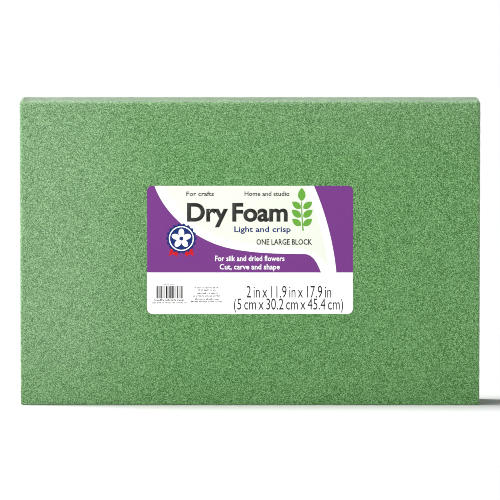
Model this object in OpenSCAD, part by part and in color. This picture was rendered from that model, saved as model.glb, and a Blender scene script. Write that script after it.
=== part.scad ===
// Dry foam block for flower arranging, with a stuck-on paper label.
// The block stands on one long edge: X is its length, Y its thickness and Z its height.
// The origin is the middle of the base, and the label is on the -Y face.

/* [Foam block] */
// Length of the block
block_length = 454; // [200:1:600]
// Height of the block as it stands on its long edge
block_height = 302; // [180:1:400]
// Thickness of the block
block_thickness = 50; // [25:1:100]
// Radius of the softened edges of the cut foam
edge_radius = 2; // [0.5:0.1:5]

/* [Label] */
// Width of the label
label_width = 203; // [100:1:203]
// Height of the label
label_height = 127; // [60:1:152]
// Corner radius of the label
label_corner = 5; // [1:0.5:20]
// How far the middle of the label stands above the middle of the block
label_rise = 3.5; // [-10:0.5:10]
// Thickness of the label's paper
paper_thickness = 0.1; // [0.05:0.01:0.3]
// Thickness of the adhesive under the paper
adhesive_thickness = 0.03; // [0.02:0.01:0.1]

/* [Hidden] */
front_y = -block_thickness / 2;
label_z = block_height / 2 + label_rise;
$fn = 48;

// A rectangle with round corners, centred on the origin.
module rounded_rectangle(width, height, radius) {
    square([width - 2 * radius, height], center = true);
    square([width, height - 2 * radius], center = true);
    for (x = [-1, 1], y = [-1, 1])
        translate([x * (width / 2 - radius), y * (height / 2 - radius)])
            circle(r = radius);
}

// A bar centred on the origin, whose four long edges, those along Z, are round.
module rounded_bar(width, depth, length, radius) {
    linear_extrude(height = length, center = true)
        rounded_rectangle(width, depth, radius);
}

// A box centred on the origin with all twelve edges round: three bars that cross.
module softened_box(length, thickness, height, radius) {
    intersection() {
        rounded_bar(length, thickness, height, radius);
        rotate([90, 0, 0])
            rounded_bar(length, height, thickness, radius);
        rotate([0, 90, 0])
            rounded_bar(height, thickness, length, radius);
    }
}

// A flat layer of the label's outline, on the front of the block.
// gap is how far its back stands off the foam.
module label_layer(gap, thickness) {
    translate([0, front_y - gap, label_z])
        rotate([90, 0, 0])
            linear_extrude(height = thickness)
                rounded_rectangle(label_width, label_height, label_corner);
}

module foam_block() {
    color("darkseagreen")
        translate([0, 0, block_height / 2])
            softened_box(block_length, block_thickness, block_height, edge_radius);
}

module label_adhesive() {
    color("gainsboro")
        label_layer(0, adhesive_thickness);
}

module label_paper() {
    color("whitesmoke")
        label_layer(adhesive_thickness, paper_thickness);
}

foam_block();
label_adhesive();
label_paper();
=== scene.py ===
"""Looks of the dry foam block for flower arranging: cut green foam with a printed paper label.

The block stands on its long edge. X is its length, Y its thickness, Z its height, and the label is
on the -Y face. Places on the label are in millimetres from its lower left corner.
"""

import math
import random

import bmesh
import bpy
import numpy as np
from mathutils import Matrix, Vector, noise
from mathutils.geometry import interpolate_bezier


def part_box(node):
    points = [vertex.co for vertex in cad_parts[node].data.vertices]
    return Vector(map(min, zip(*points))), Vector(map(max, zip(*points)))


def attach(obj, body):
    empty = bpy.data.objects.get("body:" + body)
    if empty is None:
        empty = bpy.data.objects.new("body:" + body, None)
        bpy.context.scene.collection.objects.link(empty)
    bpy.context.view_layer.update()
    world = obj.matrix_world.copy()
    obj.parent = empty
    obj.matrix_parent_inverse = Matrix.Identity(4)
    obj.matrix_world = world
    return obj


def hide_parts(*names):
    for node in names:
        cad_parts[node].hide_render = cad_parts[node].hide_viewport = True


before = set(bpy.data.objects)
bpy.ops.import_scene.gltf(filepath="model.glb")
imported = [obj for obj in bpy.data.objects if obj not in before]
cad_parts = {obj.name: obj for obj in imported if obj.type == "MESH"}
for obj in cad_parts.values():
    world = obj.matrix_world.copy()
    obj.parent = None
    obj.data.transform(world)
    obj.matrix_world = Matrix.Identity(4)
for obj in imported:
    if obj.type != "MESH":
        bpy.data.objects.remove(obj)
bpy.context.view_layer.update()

MM = 0.001  # one millimetre, in metres
FOAM_LOW, FOAM_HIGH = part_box("foam_block")
LABEL_LOW, LABEL_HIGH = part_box("label_paper")
LABEL_WIDTH = (LABEL_HIGH.x - LABEL_LOW.x) / MM
LABEL_HEIGHT = (LABEL_HIGH.z - LABEL_LOW.z) / MM
LABEL_CORNER = 5.0  # in millimetres, like the two above

# ---------------------------------------------------------------- camera


def add_camera(distance=6.0, elevation=6.0, view_width=0.4932, target_height=0.1544):
    """A long lens in front of the label, a little above the block, with no shift."""
    target = Vector((0, FOAM_LOW.y, target_height))
    angle = math.radians(elevation)
    away = Vector((0, -math.cos(angle), math.sin(angle)))
    data = bpy.data.cameras.new("camera")
    data.sensor_width = 36.0
    data.lens = data.sensor_width * distance / view_width
    data.clip_end = 1000.0
    camera = bpy.data.objects.new("camera", data)
    camera.location = target + away * distance
    camera.rotation_euler = (-away).to_track_quat("-Z", "Y").to_euler()
    bpy.context.scene.collection.objects.link(camera)
    bpy.context.scene.camera = camera


# ---------------------------------------------------------------- material helpers


def new_material(name, **sockets):
    """A material with only a Principled shader, whose named sockets are set."""
    material = bpy.data.materials.new(name)
    material.use_nodes = True
    shader = material.node_tree.nodes["Principled BSDF"]
    for socket, value in sockets.items():
        shader.inputs[socket.replace("_", " ")].default_value = value
    return material, material.node_tree, shader


def add_node(tree, kind, inputs=(), **settings):
    """A node of that kind, its settings made, and its inputs set or linked by name or number."""
    node = tree.nodes.new(kind)
    for setting, value in settings.items():
        setattr(node, setting, value)
    for socket, value in dict(inputs).items():
        if isinstance(value, bpy.types.NodeSocket):
            tree.links.new(value, node.inputs[socket])
        else:
            node.inputs[socket].default_value = value
    return node


def add_ramp(tree, factor, stops):
    """A colour ramp of (position, colour) stops, and its colour output."""
    node = add_node(tree, "ShaderNodeValToRGB", {"Fac": factor})
    elements = node.color_ramp.elements
    while len(elements) < len(stops):
        elements.new(0.5)
    for element, (position, colour) in zip(elements, stops):
        element.position = position
        element.color = (*colour, 1)
    return node.outputs["Color"]


def add_bump(tree, height, strength, distance, normal=None):
    """A bump node and its normal output. distance is in metres."""
    inputs = {"Height": height, "Strength": strength, "Distance": distance}
    if normal is not None:
        inputs["Normal"] = normal
    return add_node(tree, "ShaderNodeBump", inputs).outputs["Normal"]


def linear(red, green, blue):
    """The scene-linear colour of an sRGB one given as 0 to 255."""
    return tuple(((c / 255 + 0.055) / 1.055) ** 2.4 if c > 10 else c / 255 / 12.92
                 for c in (red, green, blue))


# ---------------------------------------------------------------- foam

TOP_RADIUS = 3.5 * MM  # of the worn edges at the top
FOOT_RADIUS = 1.2 * MM  # of the crisp edges at the foot
EDGE_BAND = 4.5 * MM  # along each edge, where the mesh is fine enough for the radius
FINE_STEP = 0.5 * MM
COARSE_STEP = 2.25 * MM
CELL_SIZE = 0.55 * MM  # of the foam


def grid_lines(low, high):
    """Places of the mesh lines across one side: close in the bands at both ends, wider between."""
    band = np.arange(0, EDGE_BAND - FINE_STEP / 2, FINE_STEP)
    steps = round((high - low - 2 * EDGE_BAND) / COARSE_STEP)
    middle = np.linspace(low + EDGE_BAND, high - EDGE_BAND, steps + 1)
    return np.concatenate([low + band, middle, high - band[::-1]])


def box_shell(lines):
    """Points and quads of a closed box whose sides are grids on the three sets of lines."""
    counts = [len(line) for line in lines]
    index = -np.ones(counts, int)
    inside = tuple(slice(1, count - 1) for count in counts)
    on_shell = np.ones(counts, bool)
    on_shell[inside] = False
    index[on_shell] = np.arange(on_shell.sum())
    grid = np.stack(np.meshgrid(*lines, indexing="ij"), -1)
    quads = []
    for axis in range(3):
        for end, flip in ((0, True), (-1, False)):
            side = index.take(end, axis=axis)
            if axis == 1:
                flip = not flip
            corners = [side[:-1, :-1], side[1:, :-1], side[1:, 1:], side[:-1, 1:]]
            if flip:
                corners.reverse()
            quads.append(np.stack(corners, -1).reshape(-1, 4))
    return grid[on_shell], np.concatenate(quads)


def soften(points, low, high):
    """Moves the points onto a box whose edges are round at the top and crisper at the foot.

    Returns the points and their outward normals.
    """
    share = (points[:, 2:] - low[2]) / (high[2] - low[2])
    radius = FOOT_RADIUS + (TOP_RADIUS - FOOT_RADIUS) * share
    core = np.clip(points, low + radius, high - radius)
    out = points - core
    normals = out / np.linalg.norm(out, axis=1, keepdims=True)
    return core + normals * radius, normals


def smooth_noise(points, size):
    """Perlin noise at each point, about -1 to 1, with lumps of that size."""
    return np.array([noise.noise(Vector(p)) for p in points / size])


def cut_depth(points, normals, low, high):
    """How far the cut surface lies below the flat plane at each point, never above it."""
    chance = np.random.default_rng(18).random(len(points))
    to_sides = np.sort(np.concatenate([points - low, high - points], axis=1), axis=1)
    edge = np.clip(1 - to_sides[:, 1] / (4 * MM), 0, 1) ** 2
    lumps = smooth_noise(points, 7 * MM)
    crumbs = smooth_noise(points + 1.0, 2.6 * MM)
    worn = np.clip(lumps + 0.7 * crumbs, 0, 1)
    rough = 0.02 + 0.5 * (1 - np.abs(normals[:, 1])) + 0.4 * edge
    return MM * (rough * chance + 0.02 * (1 + lumps) + 0.9 * edge * worn)


def smooth_step(values, start, end):
    """0 at start, 1 at end, and a soft change between them."""
    share = np.clip((values - start) / (end - start), 0, 1)
    return share * share * (3 - 2 * share)


def painted_highlight(points, low, high):
    """How much light is painted into the foam's colour at each point, 0 to 1: most at the top rim and the
    left end, and a little at the right rim.
    """
    from_left, from_right = points[:, 0] - low[0], high[0] - points[:, 0]
    from_foot, from_top = points[:, 2] - low[2], high[2] - points[:, 2]
    # Painted light: paler towards the left end and the top, where the key light and softbox fall.
    lit_left_end = smooth_step(from_left, 180 * MM, 25 * MM)
    lit_left_end *= 0.5 + 0.5 * smooth_step(from_foot, 0, 75 * MM)
    lit_top = smooth_step(from_top, 75 * MM, 0)
    # Painted highlights along the top rim and the right rim, where the edges catch the light.
    lit_rims = (0.34 * np.exp(-from_top / (1.6 * MM)) + 0.09 * np.exp(-from_right / (1.5 * MM)))
    return np.maximum(0.17 * lit_left_end, 0.065 * lit_top) + lit_rims


def foam_material():
    """Cut foam: small cells, each its own green, with pits between them, and a painted highlight that
    turns it paler green at the top rim and the left end.
    """
    material, tree, shader = new_material(
        "foam", Roughness=0.7, Specular_IOR_Level=0.3,
        Sheen_Weight=1.0, Sheen_Roughness=0.4, Sheen_Tint=(0.82, 1.0, 0.80, 1))
    place = add_node(tree, "ShaderNodeTexCoord").outputs["Object"]
    cells = add_node(tree, "ShaderNodeTexVoronoi", {"Vector": place, "Scale": 1 / CELL_SIZE})
    walls = add_node(tree, "ShaderNodeTexVoronoi", {"Vector": place, "Scale": 1 / CELL_SIZE},
                     feature="DISTANCE_TO_EDGE")
    grain = add_node(tree, "ShaderNodeTexNoise",
                     {"Vector": place, "Scale": 2 / CELL_SIZE, "Detail": 2.0, "Roughness": 0.6})
    drift = add_node(tree, "ShaderNodeTexNoise", {"Vector": place, "Scale": 28.0, "Detail": 3.0})
    cell_value = add_node(tree, "ShaderNodeSeparateColor", {"Color": cells.outputs["Color"]})
    tone = add_node(tree, "ShaderNodeMath", {0: cell_value.outputs["Red"], 1: 0.7},
                    operation="MULTIPLY").outputs[0]
    tone = add_node(tree, "ShaderNodeMath", {0: grain.outputs["Fac"], 1: 0.58, 2: tone},
                    operation="MULTIPLY_ADD").outputs[0]
    tone = add_node(tree, "ShaderNodeMath", {0: drift.outputs["Fac"], 1: 0.05, 2: tone},
                    operation="MULTIPLY_ADD").outputs[0]
    tone = add_node(tree, "ShaderNodeMath", {0: tone, 1: 0.2}, operation="SUBTRACT").outputs[0]
    colour = add_ramp(tree, tone, [
        (0.0, linear(6, 54, 3)),
        (0.3, linear(50, 104, 38)),
        (0.55, linear(92, 146, 80)),
        (0.8, linear(140, 186, 128)),
        (1.0, linear(190, 222, 180)),
    ])
    # The paler green that the painted highlight mixes into the foam.
    highlight_colour = add_ramp(tree, tone, [(0.0, linear(96, 116, 93)), (1.0, linear(242, 255, 239))])
    # Mixes the painted highlight into the cell colours, a little unevenly from cell to cell.
    painted_light = add_node(tree, "ShaderNodeAttribute", attribute_name="painted_light").outputs["Fac"]
    uneven = add_node(tree, "ShaderNodeMath", {0: cell_value.outputs["Blue"], 1: 1.4, 2: 0.3},
                      operation="MULTIPLY_ADD").outputs[0]
    share = add_node(tree, "ShaderNodeMath", {0: painted_light, 1: uneven}, operation="MULTIPLY").outputs[0]
    with_highlight = add_node(tree, "ShaderNodeMix", {"Factor": share, 6: colour, 7: highlight_colour},
                     data_type="RGBA").outputs[2]
    tree.links.new(with_highlight, shader.inputs["Base Color"])
    pits = add_node(tree, "ShaderNodeMath", {0: walls.outputs["Distance"], 1: -1.6, 2: 1.0},
                    operation="MULTIPLY_ADD").outputs[0]
    relief = add_node(tree, "ShaderNodeMath", {0: grain.outputs["Fac"], 1: 0.6, 2: pits},
                      operation="MULTIPLY_ADD").outputs[0]
    tree.links.new(add_bump(tree, relief, 0.6, 0.35 * MM), shader.inputs["Normal"])
    return material


def make_foam():
    """The block: a closed shell with worn edges and a crumbly cut surface."""
    low, high = np.array(FOAM_LOW), np.array(FOAM_HIGH)
    points, quads = box_shell([grid_lines(a, b) for a, b in zip(low, high)])
    points, normals = soften(points, low, high)
    points = points - normals * cut_depth(points, normals, low, high)[:, None]
    mesh = bpy.data.meshes.new("foam")
    mesh.from_pydata(points.tolist(), [], quads.tolist())
    # Stores per point how much painted highlight the foam's colour gets.
    mesh.attributes.new("painted_light", "FLOAT", "POINT").data.foreach_set("value", painted_highlight(points, low, high))
    mesh.shade_smooth()
    mesh.materials.append(foam_material())
    foam = bpy.data.objects.new("foam", mesh)
    bpy.context.scene.collection.objects.link(foam)
    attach(foam, "root")
    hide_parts("foam_block")


# ---------------------------------------------------------------- label

INK_DEPTH = 0.015  # in millimetres
CURVE_STEPS = 20  # points along each curve
FINE, BOLD, HEAVY = 0.0, 0.018, 0.032  # how much thicker than the plain font letters are


def outline(start, *steps):
    """Points round a closed shape. A step is a corner, or two handles and an end for a curve."""
    points = [Vector(start)]
    for step in steps:
        if isinstance(step[0], (int, float)):
            points.append(Vector(step))
        else:
            handle_a, handle_b, end = (Vector(point) for point in step)
            points += interpolate_bezier(points[-1], handle_a, handle_b, end, CURVE_STEPS)[1:]
    return points


def disc(x, y, radius, stretch=1.0, turn=0.0):
    """Points round a circle, or round an ellipse that is stretched along its turned X axis."""
    along, across = Vector((math.cos(turn), math.sin(turn))), Vector((-math.sin(turn), math.cos(turn)))
    angles = [math.tau * k / 48 for k in range(48)]
    return [Vector((x, y)) + along * radius * stretch * math.cos(a) + across * radius * math.sin(a)
            for a in angles]


def stroke(start, handle_a, handle_b, end, width, end_width):
    """Points round a curved line that goes from one width to the other."""
    spine = interpolate_bezier(Vector(start), Vector(handle_a), Vector(handle_b), Vector(end),
                               CURVE_STEPS)
    left, right = [], []
    for k, point in enumerate(spine):
        ahead = spine[min(k + 1, CURVE_STEPS - 1)] - spine[max(k - 1, 0)]
        side = Vector((-ahead.y, ahead.x)).normalized()
        half = (width + (end_width - width) * k / (CURVE_STEPS - 1)) / 2
        left.append(point + side * half)
        right.append(point - side * half)
    return left + right[::-1]


def bars(*boxes):
    """Outlines of upright rectangles, each given as left, bottom, right and top."""
    return [[Vector(p) for p in ((a, b), (c, b), (c, d), (a, d))] for a, b, c, d in boxes]


def filled(outlines):
    """A flat mesh inside the outlines. An outline inside another one is a hole."""
    curve = bpy.data.curves.new("outline", "CURVE")
    curve.dimensions = "2D"
    curve.fill_mode = "FRONT"
    for points in outlines:
        spline = curve.splines.new("POLY")
        spline.points.add(len(points) - 1)
        spline.use_cyclic_u = True
        for knot, point in zip(spline.points, points):
            knot.co = (point.x, point.y, 0, 1)
    return as_mesh(curve)


def as_mesh(curve):
    """The flat mesh of a curve or text."""
    holder = bpy.data.objects.new("holder", curve)
    mesh = bpy.data.meshes.new_from_object(holder)
    bpy.data.objects.remove(holder)
    return mesh


def letters(text, left, right, baseline, cap_height, weight, word_gap=1.0):
    """A flat mesh of one line of plain letters that fills the width from left to right."""
    def typeset(words):
        curve = bpy.data.curves.new("words", "FONT")
        curve.body = words
        curve.offset = weight
        # Small thick letters would fold over themselves at their tight curves with more points.
        curve.resolution_u = 2 if weight == BOLD else 12
        curve.space_word = word_gap
        mesh = as_mesh(curve)
        places = np.array([vertex.co for vertex in mesh.vertices])
        return mesh, places.min(0), places.max(0)

    _, cap_low, cap_high = typeset("H")
    mesh, low, high = typeset(text)
    across = (right - left) / (high[0] - low[0])
    up = cap_height / (cap_high[1] - cap_low[1])
    fit = Matrix.Translation((left - low[0] * across, baseline - cap_low[1] * up, 0))
    mesh.transform(fit @ Matrix.Diagonal((across, up, 1, 1)))
    return mesh


def add_print(name, material, layer, *meshes):
    """One ink on the label: flat meshes made into thin plates, on top of the lower layers."""
    build = bmesh.new()
    for mesh in meshes:
        build.from_mesh(mesh)
    bmesh.ops.remove_doubles(build, verts=build.verts, dist=1e-4)
    bmesh.ops.dissolve_degenerate(build, edges=build.edges, dist=1e-4)
    top = bmesh.ops.extrude_face_region(build, geom=build.faces[:], use_keep_orig=True)["geom"]
    raised = [part for part in top if isinstance(part, bmesh.types.BMVert)]
    bmesh.ops.translate(build, verts=raised, vec=(0, 0, INK_DEPTH))
    bmesh.ops.recalc_face_normals(build, faces=build.faces)
    corner = Vector((LABEL_LOW.x, LABEL_LOW.y, LABEL_LOW.z))
    upright = Matrix.Translation(corner) @ Matrix.Rotation(math.radians(90), 4, "X")
    lift = Matrix.Translation((0, 0, layer * INK_DEPTH))
    build.transform(upright @ Matrix.Scale(MM, 4) @ lift)
    mesh = bpy.data.meshes.new(name)
    build.to_mesh(mesh)
    build.free()
    mesh.materials.append(material)
    piece = bpy.data.objects.new(name, mesh)
    bpy.context.scene.collection.objects.link(piece)
    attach(piece, "root")


def ink(name, colour, roughness=0.6):
    """Printing ink: the colour, a little uneven where it lies on the paper's fibres."""
    material, tree, shader = new_material("ink_" + name, Roughness=roughness,
                                          Specular_IOR_Level=0.2)
    place = add_node(tree, "ShaderNodeTexCoord").outputs["Object"]
    fibres = add_node(tree, "ShaderNodeTexNoise", {"Vector": place, "Scale": 1800.0, "Detail": 3.0})
    thin = [channel * 1.06 for channel in colour]
    thick = [channel * 0.94 for channel in colour]
    uneven = add_ramp(tree, fibres.outputs["Fac"], [(0.3, thick), (0.7, thin)])
    tree.links.new(uneven, shader.inputs["Base Color"])
    tree.links.new(add_bump(tree, fibres.outputs["Fac"], 0.1, 0.02 * MM), shader.inputs["Normal"])
    return material


def greeked(rng, left, right, baseline, height):
    """Bars that stand for one line of small print, in word-sized groups, with no real letters."""
    boxes = []
    x = left
    while x < right - height:
        for _ in range(rng.randint(2, 8)):
            tall = rng.choice((0.7, 0.7, 1.0)) * height
            wide = rng.uniform(0.45, 0.7) * height
            if x + wide > right:
                break
            pen = 0.38 * height
            foot = baseline + rng.choice((0.0, 0.35, 0.5)) * height
            boxes.append((x, baseline, x + pen, baseline + tall))
            boxes.append((x + 1.05 * pen, foot, x + wide, foot + pen))
            x += wide + 0.2 * height
        x += 0.5 * height
    return [filled(bars(box)) for box in boxes]


def bar_code(rng, left, right, bottom, top):
    """Upright bars and gaps of one to four units, like a bar code that says nothing."""
    unit = 0.33
    boxes = []
    x = left
    while x < right - 4 * unit:
        wide = rng.randint(1, 4) * unit
        boxes.append((x, bottom, x + wide, top))
        x += wide + rng.randint(1, 2) * unit
    return filled(bars(*boxes))


def purple_ground():
    """The purple at the left and bottom under a long curve, and the purple at the right."""
    corner, bend, top = LABEL_CORNER, 0.45 * LABEL_CORNER, LABEL_HEIGHT
    right = LABEL_WIDTH
    foot = 41.1
    left_part = outline(
        (0, foot), (0, top - corner), ((0, top - bend), (bend, top), (corner, top)), (7.3, top),
        ((18, 98), (43, 79), (67, 69.4)), ((90, 60.5), (125, 59.5), (154.6, 59.5)),
        ((164, 59.5), (168, 50), (171.6, foot)))
    right_part = outline(
        (164.5, top), (right - corner, top), ((right - bend, top), (right, top - bend),
                                              (right, top - corner)),
        (right, foot), (186.7, foot), ((183.5, 75), (174, 105), (164.5, top)))
    return filled([left_part, right_part[:-1]])


def pale_panel():
    """The pale field inside the white border, behind the headline."""
    return filled([outline(
        (17.2, LABEL_HEIGHT), ((27, 108), (42, 89), (62.1, 80.4)), ((82, 71), (110, 67.5), (140, 66)),
        ((160, 65.5), (170, 58), (178.3, 48.1)), ((176, 70), (168, 100), (155.9, LABEL_HEIGHT)))])


def leaflet(root, lean, length):
    """A small pointed leaf that grows from root. lean is its angle from upright, in degrees."""
    angle = math.radians(90 - lean)
    along = Vector((math.cos(angle), math.sin(angle))) * length
    bulge = Vector((-along.y, along.x)) * 0.38
    tip = root + along
    return outline(root, (root + 0.2 * along + bulge, tip - 0.35 * along + bulge, tip),
                   (tip - 0.35 * along - bulge, root + 0.2 * along - bulge, root))[:-1]


def sprig():
    """An upright twig with small leaves in pairs and one at its tip."""
    x, foot, top = 152.4, 82.5, 111.5
    twig = stroke((x + 1.5, foot), (x + 0.5, foot + 8), (x, top - 8), (x, top), 1.4, 0.9)
    leaves = [leaflet(Vector((x + 0.1, top + 0.5)), 0, 13.0)]
    for height, length in ((87.5, 11.0), (96.0, 11.5), (104.5, 11.0)):
        leaves += [leaflet(Vector((x + 0.5 + side * 1.2, height)), side * 52, length) for side in (-1, 1)]
    return [filled([shape]) for shape in (twig, *leaves)]


def flower(x, y, petal):
    """Five round petals about a point, as flat meshes."""
    turns = [math.radians(90 + 72 * k) for k in range(5)]
    return [filled([disc(x + 1.25 * petal * math.cos(t), y + 1.25 * petal * math.sin(t), petal * 0.62,
                         1.5, t)]) for t in turns]


def scalloped(x, y, radius, wave, count):
    """Points round a disc with a wavy edge."""
    angles = [math.tau * k / (12 * count) for k in range(12 * count)]
    return [Vector((x, y)) + Vector((math.cos(a), math.sin(a))) * (radius + wave * math.cos(count * a))
            for a in angles]


def add_rosette(blue, red, white):
    """A blue rosette with a white flower in a ring, on two red ribbon ends."""
    x, y = 33.8, 74.8
    tail = ((1, 68), (10.5, 66), (12.5, 57.2), (8, 59.4), (4.6, 56.2))
    tails = [[Vector((x + side * a, b)) for a, b in tail] for side in (-1, 1)]
    add_print("rosette_tails", red, 1, *(filled([points]) for points in tails))
    add_print("rosette", blue, 2, filled([scalloped(x, y, 14.4, 0.7, 18)]))
    ring = filled([disc(x, y, 12.3), disc(x, y, 11.2)])
    add_print("rosette_flower", white, 3, ring, *flower(x, y, 4.5))
    add_print("rosette_eye", blue, 4, filled([disc(x, y, 2.0)]))


def paper_material():
    """Coated white paper with faint fibres, lying on cut foam that shows through a little."""
    material, tree, shader = new_material("label_stock", Roughness=0.45, Specular_IOR_Level=0.4)
    place = add_node(tree, "ShaderNodeTexCoord").outputs["Object"]
    fibres = add_node(tree, "ShaderNodeTexNoise", {"Vector": place, "Scale": 900.0, "Detail": 4.0})
    dents = add_node(tree, "ShaderNodeTexNoise", {"Vector": place, "Scale": 260.0, "Detail": 1.0})
    colour = add_ramp(tree, fibres.outputs["Fac"], [(0.3, (0.90, 0.90, 0.89)), (0.7, (0.95, 0.95, 0.95))])
    tree.links.new(colour, shader.inputs["Base Color"])
    fine = add_bump(tree, fibres.outputs["Fac"], 0.1, 0.02 * MM)
    tree.links.new(add_bump(tree, dents.outputs["Fac"], 0.1, 0.1 * MM, fine), shader.inputs["Normal"])
    return material


def adhesive_material():
    """Clear, slightly yellow adhesive, seen only as a line round the label."""
    material, tree, shader = new_material("adhesive", Roughness=0.3)
    place = add_node(tree, "ShaderNodeTexCoord").outputs["Object"]
    streaks = add_node(tree, "ShaderNodeTexNoise", {"Vector": place, "Scale": 300.0})
    colour = add_ramp(tree, streaks.outputs["Fac"], [(0.3, (0.66, 0.68, 0.58)), (0.7, (0.78, 0.79, 0.72))])
    tree.links.new(colour, shader.inputs["Base Color"])
    return material


def dress_node(node, material):
    """Gives a CAD node its material."""
    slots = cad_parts[node].data.materials
    slots.clear()
    slots.append(material)


def make_label():
    """The label's materials and print. The numbers with each line say where it is and how big."""
    dress_node("label_paper", paper_material())
    dress_node("label_adhesive", adhesive_material())
    purple = ink("purple", linear(110, 50, 125))
    cream = ink("cream", linear(220, 224, 212))
    white = ink("white", linear(246, 246, 246))
    grey = ink("grey", linear(44, 45, 42))
    black = ink("black", linear(20, 20, 20))
    blue = ink("blue", linear(8, 38, 104))
    green = ink("green", linear(98, 158, 56))
    red = ink("red", linear(188, 12, 30))
    rng = random.Random(9)

    add_print("purple_ground", purple, 0, purple_ground())
    add_print("pale_panel", cream, 0, pale_panel())
    add_print("headline", grey, 2, letters("Dry Foam", 39.4, 138.7, 91.5, 18.6, HEAVY, 0.6))
    add_print("sprig", green, 2, *sprig())
    add_print("top_lines", grey, 2,
              letters("For crafts", 38.8, 65.9, 116.9, 4.4, BOLD),
              letters("Home and studio", 96.1, 140.4, 116.9, 4.6, BOLD))
    add_print("blue_line", blue, 2, letters("Light and crisp", 86.0, 141.7, 81.2, 5.6, BOLD))
    add_print("use_line", black, 2, letters("ONE LARGE BLOCK", 107.8, 162.7, 68.6, 5.6, BOLD))
    add_print("white_lines", white, 1,
              letters("For silk and dried flowers", 67.1, 135.6, 52.4, 5.4, BOLD),
              letters("Cut, carve and shape", 71.5, 131.0, 44.1, 5.4, BOLD))
    add_rosette(blue, red, white)
    add_print("bar_code", black, 0, bar_code(rng, 9.2, 35.7, 15.3, 27.7))
    bar_lines = [(17, 27, 28.6, 1.2), (6.5, 38, 12.9, 1.9), (4.9, 39.8, 10.4, 1.4)]
    middle_lines = [(46, 72.5, 25.3, 1.6), (50, 68.5, 22.9, 1.6), (49, 70, 19.6, 1.6),
                    (45.5, 73, 17.1, 1.6), (47, 73, 13.9, 1.6), (43.3, 74.7, 11.4, 1.6)]
    small_print = [greeked(rng, *line) for line in bar_lines + middle_lines]
    add_print("small_print", grey, 0, *sum(small_print, []))
    add_print("size_lines", black, 0,
              letters("2 in x 11.9 in x 17.9 in", 98.0, 181.6, 16.2, 11.6, FINE, 0.6),
              letters("(5 cm x 30.2 cm x 45.4 cm)", 85.6, 193.5, 4.3, 10.9, FINE, 0.6))


# ---------------------------------------------------------------- stage


def add_area_light(name, place, aim, size, power, spread=180):
    """A soft rectangular light at place, turned to face aim."""
    data = bpy.data.lights.new(name, "AREA")
    data.shape = "RECTANGLE"
    data.size, data.size_y = size
    data.energy = power
    data.spread = math.radians(spread)
    light = bpy.data.objects.new(name, data)
    light.location = place
    light.rotation_euler = (Vector(aim) - Vector(place)).to_track_quat("-Z", "Y").to_euler()
    bpy.context.scene.collection.objects.link(light)


def add_floor():
    """A wide, plain pale floor."""
    bpy.ops.mesh.primitive_plane_add(size=600.0)
    floor = bpy.context.object
    floor.name = "floor"
    material, _, _ = new_material("floor", Base_Color=(0.72, 0.72, 0.72, 1), Roughness=0.9,
                                  Specular_IOR_Level=0.1)
    floor.data.materials.append(material)


def add_sun(from_left, elevation, spread, strength):
    """A far, broad light, so that its shadows are soft and the floor is evenly lit.

    from_left is the angle from the block's left end round towards its front, in degrees.
    """
    turn, height = math.radians(from_left), math.radians(elevation)
    towards = Vector((-math.cos(turn) * math.cos(height), -math.sin(turn) * math.cos(height),
                      math.sin(height)))
    data = bpy.data.lights.new("key", "SUN")
    data.energy = strength
    data.angle = math.radians(spread)
    light = bpy.data.objects.new("key", data)
    light.rotation_euler = towards.to_track_quat("Z", "Y").to_euler()
    bpy.context.scene.collection.objects.link(light)


def add_lights():
    """A broad key light from the left, a softbox at the front left and a little fill at the right.

    The sky is dim as a light, and white where the camera sees it past the floor.
    """
    add_sun(from_left=-5, elevation=62, spread=20, strength=4.26)
    add_area_light("softbox", (-1.2, -1.2, 0.36), (0.0, 0, 0.24), (0.4, 0.4), 1.50, spread=42)
    add_area_light("edge_fill", (1.1, -0.35, 0.12), (0.2, 0, 0.2), (0.2, 0.2), 0.26, spread=50)
    world = bpy.data.worlds.new("studio")
    world.use_nodes = True
    tree = world.node_tree
    seen = add_node(tree, "ShaderNodeLightPath").outputs["Is Camera Ray"]
    strength = add_node(tree, "ShaderNodeMath", {0: seen, 1: 0.77, 2: 0.23}, operation="MULTIPLY_ADD")
    sky = tree.nodes["Background"]
    sky.inputs["Color"].default_value = (1, 1, 1, 1)
    tree.links.new(strength.outputs[0], sky.inputs["Strength"])
    bpy.context.scene.world = world


def set_up_picture():
    """Plain colours, and denoising that keeps the foam's fine grain."""
    bpy.context.scene.view_settings.view_transform = "Standard"
    bpy.context.scene.cycles.denoising_prefilter = "NONE"
    bpy.context.scene.cycles.filter_width = 1.0


add_camera()
make_foam()
make_label()
add_floor()
add_lights()
set_up_picture()
